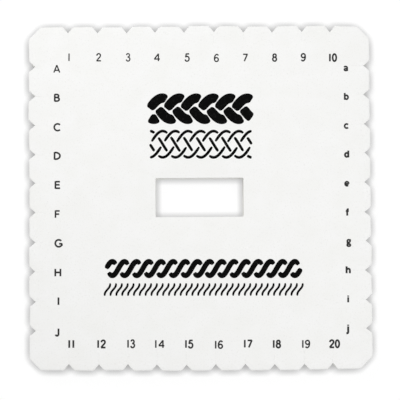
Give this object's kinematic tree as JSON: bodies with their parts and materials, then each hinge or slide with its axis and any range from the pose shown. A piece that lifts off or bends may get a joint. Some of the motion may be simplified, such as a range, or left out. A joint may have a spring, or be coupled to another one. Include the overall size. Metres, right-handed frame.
{
  "type": "kumihimo square plate",
  "caption": "Square white foam braiding plate with cut corners, V-notched thread slots with grip slits along every edge, a rectangular window in the middle and numbered slots.",
  "frame": {"origin": "centre of the plate's back face", "axes": "+Z out of the printed face, through the thickness; +Y towards the edge with slots 1 to 10; +X towards the edge with the small letters"},
  "size_m": [0.1524, 0.1524, 0.01],
  "materials": {
    "foam": "matte white closed-cell EVA foam with fine pores",
    "ink": "flat black screen-printing ink"
  },
  "bodies": {
    "root": {"plate": "foam"}
  },
  "joints": []
}
